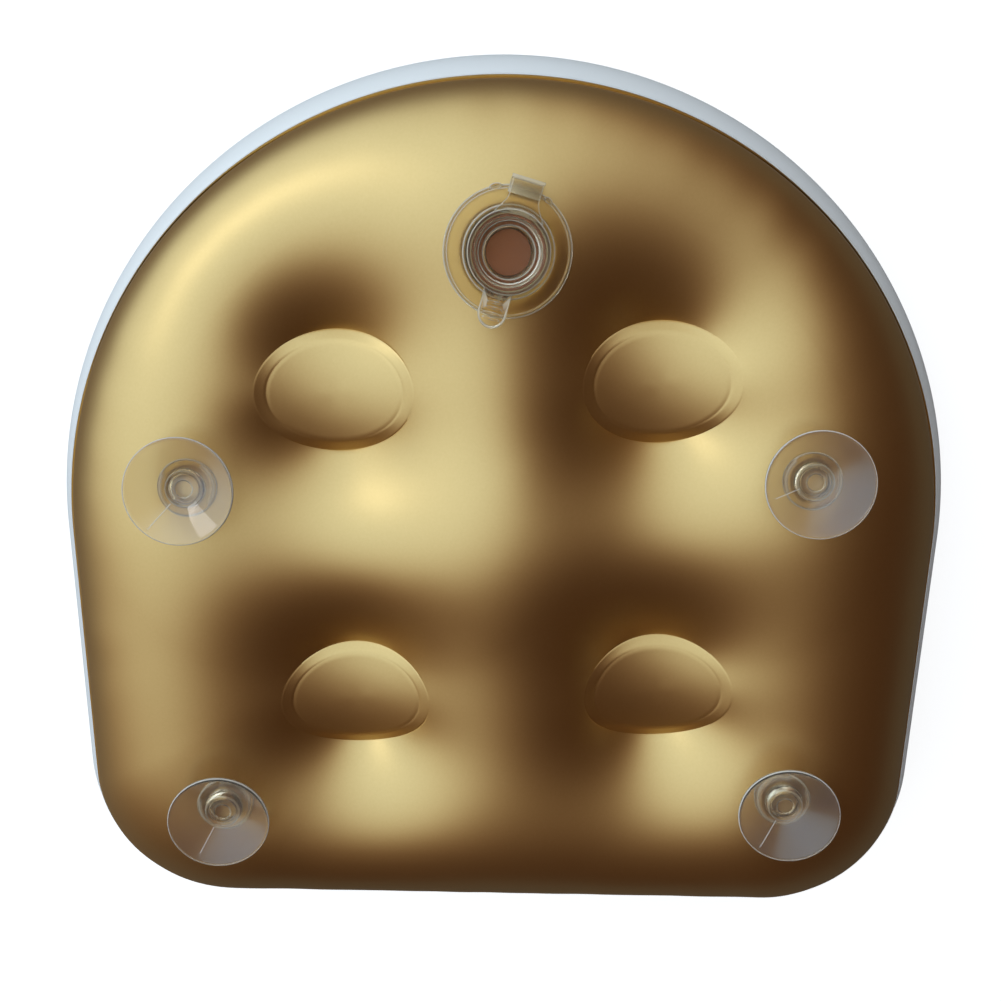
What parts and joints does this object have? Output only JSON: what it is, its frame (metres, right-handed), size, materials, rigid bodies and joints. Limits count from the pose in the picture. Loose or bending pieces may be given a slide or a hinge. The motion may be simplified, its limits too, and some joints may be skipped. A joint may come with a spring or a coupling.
{
  "type": "inflatable hot tub cushion",
  "caption": "Arch-shaped inflated cushion of welded vinyl film, gold on one side and white on the other, dimpled at oval welds, with a plugged air valve and suction cups.",
  "frame": {"origin": "on the surface that the white side lies on, under the middle of the cushion's bounding box", "axes": "+Z out of the gold side, +Y towards the arched end with the valve, +X across the cushion"},
  "size_m": [0.426, 0.416, 0.1095],
  "materials": {
    "gold_vinyl": "satin metallic gold film",
    "white_vinyl": "soft satin white film",
    "clear_vinyl": "clear soft vinyl, glossy"
  },
  "bodies": {
    "cushion": {"gold_front_film": "gold_vinyl", "white_back_film": "white_vinyl", "valve_base": "clear_vinyl", "cup_patch_upper_left": "clear_vinyl", "cup_patch_upper_right": "clear_vinyl", "cup_patch_lower_left": "clear_vinyl", "cup_patch_lower_right": "clear_vinyl"},
    "plug": {"valve_plug": "clear_vinyl", "plug_strap": "clear_vinyl"},
    "flap": {"check_flap": "gold_vinyl"},
    "cup_upper_left": {"suction_cup_upper_left": "clear_vinyl"},
    "cup_upper_right": {"suction_cup_upper_right": "clear_vinyl"},
    "cup_lower_left": {"suction_cup_lower_left": "clear_vinyl"},
    "cup_lower_right": {"suction_cup_lower_right": "clear_vinyl"}
  },
  "joints": [
    {"name": "plug_hinge", "type": "hinge", "parent": "cushion", "child": "plug", "pos_m": [0.00766, 0.15047, 0.10302], "axis": [-0.965, 0.2587, 0.0438], "range_deg": [0, 150]},
    {"name": "flap_hinge", "type": "hinge", "parent": "cushion", "child": "flap", "pos_m": [0.00382, 0.13952, 0.08328], "axis": [0.965, -0.2587, -0.0438], "range_deg": [0, 40], "stiffness_Nm_per_rad": 0.01, "springref_deg": -2.86},
    {"name": "cup_upper_left_swivel", "type": "hinge", "parent": "cushion", "child": "cup_upper_left", "pos_m": [-0.13443, 0.02453, 0.09189], "axis": [0.0614, 0.1193, 0.991], "continuous": true},
    {"name": "cup_upper_right_swivel", "type": "hinge", "parent": "cushion", "child": "cup_upper_right", "pos_m": [0.13045, 0.03239, 0.09209], "axis": [-0.0784, 0.1093, 0.9909], "continuous": true},
    {"name": "cup_lower_left_swivel", "type": "hinge", "parent": "cushion", "child": "cup_lower_left", "pos_m": [-0.12693, -0.12732, 0.09184], "axis": [0.0826, -0.0092, 0.9965], "continuous": true},
    {"name": "cup_lower_right_swivel", "type": "hinge", "parent": "cushion", "child": "cup_lower_right", "pos_m": [0.13196, -0.11964, 0.09143], "axis": [-0.0776, 0.0322, 0.9965], "continuous": true}
  ]
}
